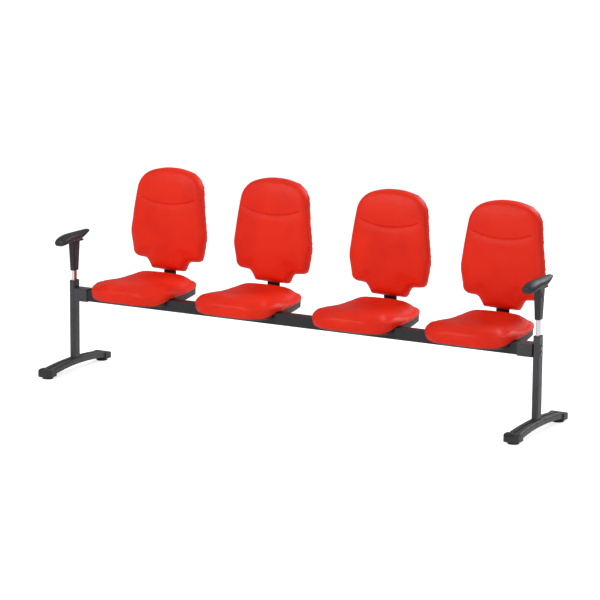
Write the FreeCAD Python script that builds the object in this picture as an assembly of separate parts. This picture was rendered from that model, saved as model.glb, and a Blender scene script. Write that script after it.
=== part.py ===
import FreeCAD, Part
import math
import os

# Four place beam seating. Millimetres, +Z up, X along the beam, sitters face -Y.
# The origin is on the floor under the middle of the whole seating.

# Beam and places
beam_y = -63.0
beam_bottom = 330.0
beam_height = 50.0
beam_depth = 50.0
beam_wall = 3.0
outer_pitch = 550.0
centre_pitch = 594.0
end_reach = 316.0

# End frames
upright_rise = 34.0
upright_depth = 50.0
upright_width = 30.0
upright_wall = 2.5
upright_corner = 11.0
foot_half_length = 240.0
foot_width = 54.0
foot_end_width = 64.0
foot_thickness = 25.0
foot_rise = 17.0
foot_waist = 70.0
foot_waist_radius = 400.0
foot_tip_corner = 8.0
foot_groove_width = 9.0
foot_groove_depth = 3.5
foot_groove_stop = 3.0
foot_edge_radius = 7.0
foot_bolt_recess = 8.0
foot_recess_radius = 11.0
foot_bolt_grip = 24.0
spigot_height = 40.0
cap_length = 56.0
cap_overhang = 21.0
cap_side_wall = 4.0
cap_top_wall = 3.0
cap_floor = 3.5
cap_corner = 18.0
cap_slope_run = 26.0
cap_slope_drop = 8.0
glide_inset = 16.0
glide_radius = 25.0
glide_height = 9.0
glide_rim = 2.5
glide_stud_radius = 5.0
glide_stud_roof = 6.0
glide_fit = 0.05
glide_air = 1.5
stud_hole_air = 2.0
bracket_length = 62.0
bracket_wall = 4.0
bracket_plate = 7.0
bracket_edge = 3.0
frame_bolt_spread = 26.0
collar_depth = 34.0
collar_flange = 3.0

# Armrests
post_depth = 30.0
post_width = 16.0
post_wall = 2.0
post_tail = 33.0
post_grip = 56.0
post_head_air = 6.0
least_chrome = 25.0
most_chrome = 85.0
left_chrome = 49.0
right_chrome = 73.0
sleeve_roof = 12.0
sleeve_foot_depth = 42.0
sleeve_foot_width = 25.0
sleeve_head_depth = 54.0
sleeve_head_width = 34.0
sleeve_corner = 9.0
sleeve_fit = 0.3
flange_length = 108.0
flange_width = 46.0
flange_thickness = 6.0
flange_corner = 16.0
pad_front = -128.0
pad_rear = 112.0
pad_half_width = 33.0
pad_thickness = 36.0
pad_nose_droop = 15.0
pad_tail_rise = 25.0
button_below_top = 36.0
button_length = 22.0
button_width = 14.0
button_depth = 4.4
button_travel = 2.0
button_pocket = 4.6
button_fit = 0.3
arm_screw_inset = 12.0
arm_screw_grip = 14.0

# Seats
seat_y = 57.0
seat_front = 175.0
seat_rear = 250.0
seat_half_width = 218.0
seat_front_taper = 19.0
seat_rear_taper = 26.0
seat_front_round = 127.0
seat_rear_round = 68.0
seat_front_draw = 127.0
seat_rear_draw = 44.0
cushion_drop = 3.0
cushion_skirt = 26.0
cushion_skirt_middle = -94.0
cushion_skirt_blend = 90.0
cushion_belly_rise = 19.0
cushion_middle_rise = 55.0
cushion_dip = 5.0
cushion_edge_rise = 28.0
cushion_edge_swing = 10.0
cushion_front_foot_round = 12.0
cushion_rear_foot_round = 38.0
cushion_foot_blend = 240.0
cushion_edge_round = 28.0
plan_front_half_width = 213.0
plan_front_corner = 145.0
plan_wide_half_width = 221.0
plan_wide_along = 48.0
plan_wide_radius = 508.0
plan_rear_half_width = 177.0
plan_rear_corner = 80.0
board_thickness = 10.0
board_inset = 32.0
pan_wall = 3.0
pan_depth = 31.0
pan_rim_inset = 9.0
pan_floor_inset = 15.0
pan_rim_height = 8.0
pan_rim_reach = 10.0
screw_boss_radius = 6.0
soft_gap = 0.3
mount_plate = 4.0
mount_half_width = 88.0
mount_front = 84.0
mount_rear = 108.0
mount_bolt_inset = 20.0
cheek_half_width = 60.0
cheek_drop = 44.0
cheek_bolt_inset = 18.0
channel_air = 6.5
slot_air = 1.0
pan_screw_x = 130.0
pan_screw_front = 105.0
pan_screw_rear = 120.0

# Backs
bar_width = 62.0
bar_thickness = 6.0
bar_air = 1.5
bar_bend = 14.0
bar_leg_height = 150.0
bar_bolt_x = 18.0
bar_bolt_low = 62.0
bar_bolt_high = 118.0
bar_bolt_setback = 24.0
back_behind_seat = 9.0
back_above_board = 56.0
back_lean = 2.5
back_height = 479.0
back_radius = 1400.0
back_apex = 190.0
back_crown = 44.0
back_side_thickness = 33.0
back_edge_radius = 13.0
back_board_thickness = 10.0
back_board_inset = 7.0
back_bolt_relief = 5.0
back_shell_depth = 18.0
back_shell_wall = 3.0
back_shell_inset = 10.0
back_shell_radius = 12.0
back_screw_x = 115.0
back_screw_low = 130.0
back_screw_high = 370.0
spot_face_depth = 0.6
tongue_half_width = 84.0
tongue_corner = 13.0
tongue_top_half_width = 113.0
tongue_height = 50.0
tongue_top_corner = 18.0
back_low_half_width = 185.0
back_low_corner = 40.0
back_wide_half_width = 203.5
back_wide_height = 174.0
back_wide_radius = 150.0
back_top_half_width = 168.0
back_top_corner = 101.0
back_top_drop = 36.0
back_crest_half_width = 52.5
back_crest_radius = 300.0
seam_height = 314.0
seam_rise = 28.0
seam_half_width = 150.0
seam_width = 4.0
seam_depth = 3.0

# Fasteners: shank radius, width across flats and head height
large_bolt = (5.0, 17.0, 6.5)
clamp_bolt = (4.0, 13.0, 5.5)
board_bolt = (3.0, 10.0, 4.0)
shell_screw = (2.0, 7.0, 2.4)
arm_screw_size = (2.5, 8.0, 3.0)
bolt_air = 0.2
bolt_tail = 6.0
screw_bite = 8.0

# A cut reaches this far past the face it opens, and a slab this far past what is cut from it
past = 1.0
beyond = 60.0

beam_top = beam_bottom + beam_height
beam_middle = beam_bottom + beam_height / 2
upright_x = centre_pitch / 2 + outer_pitch + end_reach
upright_top = beam_top + upright_rise
foot_end_under = glide_height + glide_air + cap_floor
foot_end_top = foot_end_under + foot_thickness
foot_under_crown = foot_end_under + foot_rise
foot_crown = foot_end_top + foot_rise
glide_y = foot_half_length - glide_inset
glide_stud_top = foot_end_top - glide_stud_roof
post_bottom = beam_middle - post_tail
post_top = upright_top + most_chrome + post_grip
sleeve_bore_depth = most_chrome - least_chrome + post_grip + post_head_air
sleeve_height = sleeve_bore_depth + sleeve_roof + flange_thickness
button_height = sleeve_height - button_below_top
board_bottom = beam_top + mount_plate
board_top = board_bottom + board_thickness
cushion_bottom = board_bottom - cushion_drop
cushion_belly = board_bottom + cushion_belly_rise
cushion_middle = board_bottom + cushion_middle_rise
cushion_edge = board_bottom + cushion_edge_rise
pan_floor = cushion_bottom - pan_depth
channel_half = beam_depth / 2 + mount_plate + channel_air
bar_start = channel_half + pan_wall + bar_air
bar_face_y = seat_y + seat_rear + back_behind_seat
back_base = board_bottom + back_above_board
seat_places = [
    -centre_pitch / 2 - outer_pitch,
    -centre_pitch / 2,
    centre_pitch / 2,
    centre_pitch / 2 + outer_pitch,
]
sides = {"left": -1, "right": 1}
chrome_shown = {"left": left_chrome, "right": right_chrome}


def vec(x, y, z):
    return FreeCAD.Vector(x, y, z)


def flat_at(height):
    return lambda a, b: vec(a, b, height)


def side_plane(a, b):
    return vec(0, a, b)


def rounded_wire(corners, place):
    # A closed outline of lines and tangent arcs: each corner is (a, b, radius).
    pieces = []
    count = len(corners)
    joints = []
    for index, (a, b, radius) in enumerate(corners):
        before = corners[index - 1]
        after = corners[(index + 1) % count]
        back = FreeCAD.Vector(before[0] - a, before[1] - b, 0).normalize()
        ahead = FreeCAD.Vector(after[0] - a, after[1] - b, 0).normalize()
        half = back.getAngle(ahead) / 2
        inward = (back + ahead).normalize()
        run = radius / math.tan(half)
        apex = radius / math.sin(half) - radius
        joints.append((
            (a + back.x * run, b + back.y * run),
            (a + inward.x * apex, b + inward.y * apex),
            (a + ahead.x * run, b + ahead.y * run),
            radius,
        ))
    for index, (start, middle, end, radius) in enumerate(joints):
        if radius > 0:
            pieces.append(Part.Arc(place(*start), place(*middle), place(*end)).toShape())
        following = joints[(index + 1) % count][0]
        pieces.append(Part.LineSegment(place(*end), place(*following)).toShape())
    return Part.Wire(pieces)


def rounded_prism(corners, place, direction):
    return Part.Face(rounded_wire(corners, place)).extrude(direction)


def mirrored(corners):
    # The right half of an outline, walked from front to rear, and its mirror image.
    return corners + [(-a, b, radius) for a, b, radius in reversed(corners)]


def box_between(low, high):
    size = high - low
    return Part.makeBox(size.x, size.y, size.z, low)


def oval_prism(width, depth, corner, centre_x, low, high):
    half_x = width / 2
    half_y = depth / 2
    outline = mirrored([(half_x, -half_y, corner), (half_x, half_y, corner)])
    shape = rounded_prism(outline, flat_at(low), vec(0, 0, high - low))
    shape.translate(vec(centre_x, beam_y, 0))
    return shape


def bolt(size, length, head_at, direction):
    # The head lies outside head_at and the shank runs from there along direction.
    radius, flats, head = size
    corner = flats / math.sqrt(3)
    axis = FreeCAD.Vector(direction).normalize()
    ring = [vec(corner * math.cos(k * math.pi / 3), corner * math.sin(k * math.pi / 3), -head)
            for k in range(6)]
    hexagon = Part.Face(Part.makePolygon(ring + ring[:1])).extrude(vec(0, 0, head))
    shape = hexagon.fuse(Part.makeCylinder(radius, length)).removeSplitter()
    shape.Placement = FreeCAD.Placement(head_at, FreeCAD.Rotation(vec(0, 0, 1), axis))
    return shape


def drilled(shape, size, length, start, direction):
    hole = Part.makeCylinder(size[0] + bolt_air, length, start, direction)
    return shape.cut(hole)


def save(shape, name):
    shape = shape.copy()
    solids = shape.Solids
    if not shape.isValid() or not solids:
        raise RuntimeError("bad shape: " + name)
    if len(solids) == 1:
        shape = solids[0]
    shape.exportStep("parts/" + name + ".step")
    print(name, len(solids), round(shape.Volume / 1000, 2), "cm3")


# Beam: one rectangular steel tube between the two end brackets
def make_beam():
    half = upright_x - upright_width / 2 - bracket_plate
    low = vec(-half, beam_y - beam_depth / 2, beam_bottom)
    high = vec(half, beam_y + beam_depth / 2, beam_top)
    inset = vec(0, beam_wall, beam_wall)
    return box_between(low, high).cut(box_between(low + inset, high - inset))


def clamp_bolts(seat_x):
    # Two bolts through each cheek of the seat mount into the wall of the beam.
    bolts = []
    length = mount_plate + beam_wall + bolt_tail
    reach = cheek_half_width - cheek_bolt_inset
    for offset in (-reach, reach):
        for way in (-1, 1):
            start = vec(seat_x + offset, beam_y + way * (beam_depth / 2 + mount_plate), beam_middle)
            bolts.append((start, vec(0, -way, 0), length))
    return bolts


# Seat mount: a folded steel saddle over the beam that carries the seat board
def make_seat_mount(seat_x):
    plate = box_between(
        vec(seat_x - mount_half_width, beam_y - mount_front, beam_top),
        vec(seat_x + mount_half_width, beam_y + mount_rear, board_bottom),
    )
    outer = beam_depth / 2 + mount_plate
    saddle = box_between(
        vec(seat_x - cheek_half_width, beam_y - outer, beam_top - cheek_drop),
        vec(seat_x + cheek_half_width, beam_y + outer, board_bottom),
    )
    tunnel = box_between(
        vec(seat_x - mount_half_width, beam_y - beam_depth / 2, beam_bottom - beyond),
        vec(seat_x + mount_half_width, beam_y + beam_depth / 2, beam_top),
    )
    return plate.fuse(saddle).cut(tunnel).removeSplitter()


def seat_board_bolts(seat_x):
    # The front pair holds the plate, the rear pair the back bar as well.
    front_length = mount_plate + board_thickness - 2
    rear_length = front_length + bar_thickness
    bolts = []
    for way in (-1, 1):
        front_x = way * (mount_half_width - mount_bolt_inset)
        front = vec(seat_x + front_x, beam_y - mount_front + mount_bolt_inset, beam_top)
        bolts.append((front, vec(0, 0, 1), front_length))
        rear_y = beam_y + mount_rear - bar_bolt_setback
        start = vec(seat_x + way * bar_bolt_x, rear_y, beam_top - bar_thickness)
        bolts.append((start, vec(0, 0, 1), rear_length))
    return bolts


def seat_outline(inset):
    # The seat in plan, drawn in by the inset all round.
    return mirrored([
        (plan_front_half_width - inset, -seat_front + inset, plan_front_corner - inset),
        (plan_wide_half_width - inset, plan_wide_along, plan_wide_radius),
        (plan_rear_half_width - inset, seat_rear - inset, plan_rear_corner - inset),
    ])


def outline_prism(inset, low, high):
    return rounded_prism(seat_outline(inset), flat_at(low), vec(0, 0, high - low))


def at_seat(shape, seat_x):
    shape.translate(vec(seat_x, beam_y + seat_y, 0))
    return shape


def seat_screw_places(seat_x):
    middle = beam_y + seat_y
    return [vec(seat_x + way * pan_screw_x, middle + along, pan_floor)
            for way in (-1, 1) for along in (-pan_screw_front, pan_screw_rear)]


# Seat board: a plywood panel inside the upholstery
def make_seat_board(seat_x):
    return at_seat(outline_prism(board_inset, board_bottom, board_top), seat_x)


def eased(share):
    # A smooth step from nought to one.
    share = min(1.0, max(0.0, share))
    return share * share * (3 - 2 * share)


def cushion_section(along, end_share, width):
    # One closed section across the seat. The end share falls to nought at the tips.
    front_start = seat_front_round - seat_front
    rear_start = seat_rear - seat_rear_round
    swing = math.cos(math.pi * (along - front_start) / (0.7 * (rear_start - front_start)))
    edge = cushion_edge + cushion_edge_swing * swing
    centre = cushion_middle - cushion_dip * math.cos(math.pi * along / rear_start)
    centre = cushion_belly + (centre - cushion_belly) * end_share
    edge = cushion_belly + (edge - cushion_belly) * end_share
    bolster = 0.15 * edge + 0.85 * centre + 2 * end_share
    hang = cushion_skirt * (1 - eased((along - cushion_skirt_middle) / cushion_skirt_blend + 0.5))
    foot = cushion_bottom - hang + 5 * (1 - end_share)
    rearward = min(1.0, max(0.0, along / cushion_foot_blend + 0.5))
    foot_round = cushion_front_foot_round
    foot_round += (cushion_rear_foot_round - cushion_front_foot_round) * rearward
    foot_x = width - foot_round
    edge_x = width - cushion_edge_round * end_share - 6
    bolster_x = 0.5 * width
    right = [
        (foot_x, foot),
        (width - 0.18 * foot_round, foot + 0.42 * (cushion_belly - 2 - foot)),
        (width, cushion_belly - 2),
        (width - (width - edge_x) * 0.3, cushion_belly - 2 + (edge - cushion_belly + 2) * 0.68),
        (edge_x, edge),
        ((edge_x + bolster_x) / 2, edge + (bolster - edge) * 0.68),
        (bolster_x, bolster),
    ]
    point = [vec(x, along, z) for x, z in right]
    other = [vec(-x, along, z) for x, z in right]
    edges = [
        Part.LineSegment(other[0], point[0]).toShape(),
        Part.Arc(point[0], point[1], point[2]).toShape(),
        Part.Arc(point[2], point[3], point[4]).toShape(),
        Part.Arc(point[4], point[5], point[6]).toShape(),
        Part.Arc(point[6], vec(0, along, centre), other[6]).toShape(),
        Part.Arc(other[6], other[5], other[4]).toShape(),
        Part.Arc(other[4], other[3], other[2]).toShape(),
        Part.Arc(other[2], other[1], other[0]).toShape(),
    ]
    return Part.Wire(edges)


def cushion_sections():
    # Stations from the front tip to the rear tip, closer together where the ends turn in.
    stations = []
    front_start = seat_front_round - seat_front
    rear_start = seat_rear - seat_rear_round
    for share in (0.995, 0.96, 0.85, 0.65, 0.35, 0.0):
        stations.append((front_start - share * seat_front_round, share))
    for share in (0.2, 0.4, 0.6, 0.8):
        stations.append((front_start + share * (rear_start - front_start), 0.0))
    for share in (0.0, 0.4, 0.7, 0.9, 0.975):
        stations.append((rear_start + share * seat_rear_round, share))
    sections = []
    taper_start = front_start + 0.2 * (rear_start - front_start)
    for along, share in stations:
        end_share = math.sqrt(1 - share * share)
        taper = max(0.0, (along - taper_start) / (rear_start - taper_start))
        draw = seat_front_draw if along < 0 else seat_rear_draw
        width = seat_half_width - seat_rear_taper * taper ** 2 - draw * (1 - end_share)
        width -= seat_front_taper * min(0.0, along / seat_front) ** 2
        sections.append(cushion_section(along, end_share, width))
    return sections


# Seat cushion: moulded foam under leatherette, pulled over the edge of the board
def make_seat_cushion(seat_x):
    cushion = Part.makeLoft(cushion_sections(), True, False)
    cushion = at_seat(cushion.cut(outline_prism(board_inset, board_top - beyond, board_top)), seat_x)
    half_y = beam_depth / 2 + slot_air
    notch = box_between(
        vec(seat_x - seat_half_width - beyond, beam_y - half_y, cushion_bottom - beyond),
        vec(seat_x + seat_half_width + beyond, beam_y + half_y, cushion_bottom),
    )
    return cushion.cut(notch)


# Seat pan: the moulded plastic cover under the cushion, with a channel for the beam
def make_seat_pan(seat_x):
    def tray(wall):
        levels = [
            (cushion_bottom + pan_rim_reach + wall, pan_rim_inset + wall),
            (pan_floor + pan_rim_height, pan_rim_inset + 1 + wall),
            (pan_floor + wall, pan_rim_inset + pan_floor_inset + wall),
        ]
        wires = [rounded_wire(seat_outline(inset), flat_at(height)) for height, inset in levels]
        return at_seat(Part.makeLoft(wires, True, True), seat_x)

    def across(half_y, low, high):
        return box_between(vec(seat_x - seat_half_width, beam_y - half_y, low),
                           vec(seat_x + seat_half_width, beam_y + half_y, high))
    web_low = board_bottom - pan_wall
    beam_room = across(channel_half, pan_floor - past, web_low)
    channel = across(channel_half + pan_wall, pan_floor, board_bottom).cut(beam_room)
    under_board = outline_prism(board_inset + slot_air, pan_floor, board_bottom)
    channel = channel.common(tray(0).fuse(at_seat(under_board, seat_x)))
    pan = tray(0).cut(tray(pan_wall)).cut(beam_room).fuse(channel)
    cushion_room = Part.makeLoft(cushion_sections(), True, False)
    cushion_room.translate(vec(0, 0, -soft_gap))
    cushion_room = cushion_room.cut(outline_prism(board_inset + soft_gap, board_top - beyond, board_top))
    pan = pan.cut(at_seat(cushion_room, seat_x))
    for place in seat_screw_places(seat_x):
        pan = pan.fuse(Part.makeCylinder(screw_boss_radius, board_bottom - pan_floor, place))
    room_low = beam_top - board_bolt[2] - slot_air
    room_half = mount_half_width + slot_air
    mount_room = box_between(
        vec(seat_x - room_half, beam_y - mount_front - slot_air, room_low),
        vec(seat_x + room_half, beam_y + mount_rear + slot_air, board_bottom),
    )
    slot_half = bar_width / 2 + slot_air
    slot = box_between(
        vec(seat_x - slot_half, beam_y, beam_top - bar_thickness - slot_air),
        vec(seat_x + slot_half, beam_y + seat_y + seat_rear, board_bottom),
    )
    return pan.cut(mount_room).cut(slot).removeSplitter()


def back_arc_y(radius, height):
    # How far the curved back lies behind its foremost line, at a height above its lower end.
    return back_radius - math.sqrt(radius ** 2 - (height - back_apex) ** 2)


def side_profile(x, front_offset, rear_offset):
    # A curved strip between two radii, counted forwards from the front of the back board.
    front = back_radius + front_offset
    rear = back_radius + rear_offset
    low = -beyond
    high = back_height + beyond
    middle = (low + high) / 2

    def on_arc(radius, height):
        return vec(x, back_arc_y(radius, height), height)
    return Part.Wire([
        Part.Arc(on_arc(front, low), on_arc(front, middle), on_arc(front, high)).toShape(),
        Part.LineSegment(on_arc(front, high), on_arc(rear, high)).toShape(),
        Part.Arc(on_arc(rear, high), on_arc(rear, middle), on_arc(rear, low)).toShape(),
        Part.LineSegment(on_arc(rear, low), on_arc(front, low)).toShape(),
    ])


def back_slab(front_offset, rear_offset):
    half = back_wide_half_width + beyond
    face = Part.Face(side_profile(-half, front_offset, rear_offset))
    return face.extrude(vec(2 * half, 0, 0))


def back_outline(inset):
    # Seen from the front: a tongue below, then the body, widest low down, with a round top.
    return mirrored([
        (tongue_half_width - inset, inset, tongue_corner),
        (tongue_top_half_width - inset, tongue_height + inset, tongue_top_corner),
        (back_low_half_width - inset, tongue_height + 3 + inset, back_low_corner - inset),
        (back_wide_half_width - inset, back_wide_height, back_wide_radius),
        (back_top_half_width - inset, back_height - back_top_drop - inset, back_top_corner - inset),
        (back_crest_half_width, back_height - inset, back_crest_radius),
    ])


def back_prism(inset):
    reach = back_crown + 2 * beyond
    return rounded_prism(back_outline(inset), lambda a, b: vec(a, -reach, b), vec(0, 2 * reach, 0))


def crowned_slab(shift):
    # The cushion's thickness falls off from the middle to both sides.
    profiles = []
    for share in (-1.0, -0.5, 0.0, 0.5, 1.0):
        thickness = back_crown - (back_crown - back_side_thickness) * share ** 2
        x = share * (back_wide_half_width + 10)
        profiles.append(side_profile(x, thickness - shift, -back_board_thickness))
    return Part.makeLoft(profiles, True, False)


def place_back(shape, seat_x):
    # The board's rear face is set on the front face of the back bar, a little leaned back.
    shape.rotate(vec(0, 0, 0), vec(1, 0, 0), -back_lean)
    rear = back_arc_y(back_radius - back_board_thickness, (bar_bolt_low + bar_bolt_high) / 2)
    shape.translate(vec(seat_x, beam_y + bar_face_y - rear, back_base))
    return shape


# Back cushion: crowned foam wrapped round the board, with a sewn seam across its upper part
def make_back_cushion(seat_x):
    cushion = back_prism(0).common(crowned_slab(0))
    front_edges = []
    for edge in cushion.Edges:
        middle = edge.valueAt((edge.FirstParameter + edge.LastParameter) / 2)
        if middle.y < back_arc_y(back_radius, middle.z) - back_side_thickness / 2:
            front_edges.append(edge)
    cushion = cushion.makeFillet(back_edge_radius, front_edges)
    board_room = back_prism(back_board_inset - soft_gap).common(back_slab(soft_gap, -beyond))
    cushion = cushion.cut(board_room)
    reach = 2 * beyond
    lines = []
    for way in (-1, 1):
        low = seam_height + way * seam_width / 2
        ends = low + seam_rise
        lines.append([vec(-seam_half_width, -reach, ends), vec(0, -reach, low),
                      vec(seam_half_width, -reach, ends)])
    lower, upper = lines
    band = Part.Face(Part.Wire([
        Part.Arc(*lower).toShape(),
        Part.LineSegment(lower[2], upper[2]).toShape(),
        Part.Arc(upper[2], upper[1], upper[0]).toShape(),
        Part.LineSegment(upper[0], lower[0]).toShape(),
    ])).extrude(vec(0, reach, 0))
    channel = band.cut(crowned_slab(seam_depth))
    cushion = place_back(cushion.cut(channel), seat_x)
    half = bar_width / 2 + slot_air
    bar_room = box_between(
        vec(seat_x - half, beam_y + bar_face_y - slot_air, back_base - beyond),
        vec(seat_x + half, beam_y + bar_face_y + beyond, back_base + back_board_inset + past),
    )
    return cushion.cut(bar_room)


def back_screw_places():
    return [(way * back_screw_x, height)
            for way in (-1, 1) for height in (back_screw_low, back_screw_high)]


# Back bar: a flat steel bar from the seat mount, bent up behind the back
def make_back_bar(seat_x):
    low = beam_top - bar_thickness
    corners = [
        (bar_start, low, 0),
        (bar_face_y + bar_thickness, low, bar_bend + bar_thickness),
        (bar_face_y + bar_thickness, back_base + bar_leg_height, 0),
        (bar_face_y, back_base + bar_leg_height, 0),
        (bar_face_y, beam_top, bar_bend),
        (bar_start, beam_top, 0),
    ]
    bar = rounded_prism(corners, side_plane, vec(bar_width, 0, 0))
    bar.translate(vec(seat_x - bar_width / 2, beam_y, 0))
    return bar


def back_board_bolts(seat_x):
    bolts = []
    length = bar_thickness + back_board_thickness - back_bolt_relief
    for way in (-1, 1):
        for height in (bar_bolt_low, bar_bolt_high):
            rear = beam_y + bar_face_y + bar_thickness
            start = vec(seat_x + way * bar_bolt_x, rear, back_base + height)
            bolts.append((start, vec(0, -1, 0), length))
    return bolts


# Back board: curved plywood between the foam and the rear shell
def make_back_board(seat_x):
    board = back_prism(back_board_inset).common(back_slab(0, -back_board_thickness))
    board = place_back(board, seat_x)
    half = bar_width / 2 + slot_air
    seat_on_bar = box_between(
        vec(seat_x - half, beam_y + bar_face_y, back_base - beyond),
        vec(seat_x + half, beam_y + bar_face_y + beyond, back_base + bar_leg_height + slot_air),
    )
    return board.cut(seat_on_bar)


# Back shell: the moulded plastic cover behind the board
def make_back_shell(seat_x):
    front = -back_board_thickness - soft_gap
    rear = -back_board_thickness - back_shell_depth

    def hollow(wall):
        shape = back_prism(back_shell_inset + wall).common(back_slab(front + wall, rear + wall))
        limit = (front + rear) / 2
        edges = []
        for edge in shape.Edges:
            middle = edge.valueAt((edge.FirstParameter + edge.LastParameter) / 2)
            if middle.y > back_arc_y(back_radius + limit, middle.z):
                edges.append(edge)
        return shape.makeFillet(back_shell_radius - wall, edges)
    outer = hollow(0)
    shell = outer.cut(hollow(back_shell_wall))
    for x, height in back_screw_places():
        start = vec(x, back_arc_y(back_radius + front, height) - 2 * past, height)
        boss = Part.makeCylinder(screw_boss_radius, back_shell_depth + 4 * past, start, vec(0, 1, 0))
        shell = shell.fuse(boss.common(outer))
    shell = place_back(shell, seat_x)
    half = bar_width / 2 + slot_air
    low_y = beam_y + bar_face_y - slot_air
    slot_top = back_base + back_shell_inset + 2 * back_shell_wall
    slot = box_between(
        vec(seat_x - half, low_y, back_base - beyond),
        vec(seat_x + half, low_y + bar_thickness + 2 * slot_air, slot_top),
    )
    return shell.cut(slot)


def spot_faced(shape, size, bolts):
    # A flat round recess for each screw head, seen from outside.
    for start, direction, length in bolts:
        recess = Part.makeCylinder(size[1] / math.sqrt(3) + bolt_air, 2 * size[2], start, direction * -1)
        shape = shape.cut(recess)
    return shape


# End bracket: a steel socket for the beam with a plate against the upright
def make_bracket(way):
    inner = upright_x - upright_width / 2
    outer_y = beam_depth / 2 + bracket_wall
    socket = box_between(
        vec(inner - bracket_plate - bracket_length, beam_y - outer_y, beam_bottom - bracket_wall),
        vec(inner, beam_y + outer_y, beam_top + bracket_wall),
    )
    along_beam = [edge for edge in socket.Edges if abs(edge.tangentAt(edge.FirstParameter).x) > 0.9]
    socket = socket.makeFillet(bracket_edge, along_beam)
    hole = box_between(
        vec(inner - bracket_plate - bracket_length - past, beam_y - beam_depth / 2, beam_bottom),
        vec(inner - bracket_plate, beam_y + beam_depth / 2, beam_top),
    )
    bracket = socket.cut(hole)
    return handed(bracket, way)


def handed(shape, way):
    # Parts of the right end frame, or their mirror image for the left one.
    return shape if way > 0 else shape.mirror(vec(0, 0, 0), vec(1, 0, 0))


def frame_bolts(way):
    # Two bolts per end join upright, arm post and bracket; one holds the foot from below.
    outside = way * (upright_x + upright_width / 2)
    bolts = []
    for offset in (-frame_bolt_spread / 2, frame_bolt_spread / 2):
        start = vec(outside, beam_y, beam_middle + offset)
        bolts.append((start, vec(-way, 0, 0), upright_width + bracket_plate))
    below = vec(way * upright_x, beam_y, foot_under_crown + foot_bolt_recess)
    bolts.append((below, vec(0, 0, 1), foot_thickness - foot_bolt_recess + foot_bolt_grip))
    return bolts


# Upright: an oval steel tube standing on the foot
def make_upright(way):
    outer = oval_prism(upright_width, upright_depth, upright_corner, upright_x, foot_crown, upright_top)
    inner = oval_prism(
        upright_width - 2 * upright_wall, upright_depth - 2 * upright_wall,
        upright_corner - upright_wall, upright_x, foot_crown - past, upright_top + past,
    )
    tube = handed(outer.cut(inner), way)
    for start, direction, length in frame_bolts(way)[:2]:
        tube = drilled(tube, large_bolt, length, start, direction)
    return tube


# Post collar: the moulded insert that centres the arm post in the upright
def make_collar(way):
    body = oval_prism(
        upright_width - 2 * upright_wall, upright_depth - 2 * upright_wall,
        upright_corner - upright_wall, upright_x, upright_top - collar_depth, upright_top,
    )
    flange = oval_prism(upright_width, upright_depth, upright_corner, upright_x,
                        upright_top, upright_top + collar_flange)
    bore = oval_prism(post_width, post_depth, post_width / 2 - 0.01, upright_x,
                      upright_top - collar_depth - past, upright_top + collar_flange + past)
    return handed(body.fuse(flange).cut(bore), way)


# Arm post: a chromed oval tube that stands out of the upright
def make_post(way):
    outer = oval_prism(post_width, post_depth, post_width / 2 - 0.01, upright_x, post_bottom, post_top)
    inner = oval_prism(
        post_width - 2 * post_wall, post_depth - 2 * post_wall, post_width / 2 - post_wall - 0.01,
        upright_x, post_bottom - past, post_top + past,
    )
    tube = handed(outer.cut(inner), way)
    for start, direction, length in frame_bolts(way)[:2]:
        tube = drilled(tube, large_bolt, length, start, direction)
    return tube


def arch_height(centre, end, along):
    # The height of a circular arch, at a distance from its middle.
    rise = centre - end
    radius = (foot_half_length ** 2 + rise ** 2) / (2 * rise)
    return centre - radius + math.sqrt(radius ** 2 - along ** 2)


def arch_wire(top_centre, top_end, under_centre, under_end):
    reach = foot_half_length + past
    top = arch_height(top_centre, top_end, reach)
    under = arch_height(under_centre, under_end, reach)
    return Part.Wire([
        Part.Arc(vec(0, -reach, top), vec(0, 0, top_centre), vec(0, reach, top)).toShape(),
        Part.LineSegment(vec(0, reach, top), vec(0, reach, under)).toShape(),
        Part.Arc(vec(0, reach, under), vec(0, 0, under_centre), vec(0, -reach, under)).toShape(),
        Part.LineSegment(vec(0, -reach, under), vec(0, -reach, top)).toShape(),
    ])


def foot_blank():
    # The plain arch of the foot, wider at its two ends, before its edges are rounded.
    arch = Part.Face(arch_wire(foot_crown, foot_end_top, foot_under_crown, foot_end_under))
    arch.translate(vec(-foot_end_width, 0, 0))
    arch = arch.extrude(vec(2 * foot_end_width, 0, 0))
    plan = mirrored([
        (foot_end_width / 2, -foot_half_length, foot_tip_corner),
        (foot_width / 2, -foot_waist, foot_waist_radius),
        (foot_width / 2, foot_waist, foot_waist_radius),
        (foot_end_width / 2, foot_half_length, foot_tip_corner),
    ])
    return rounded_prism(plan, flat_at(0), vec(0, 0, 2 * foot_crown)).common(arch)


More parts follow.
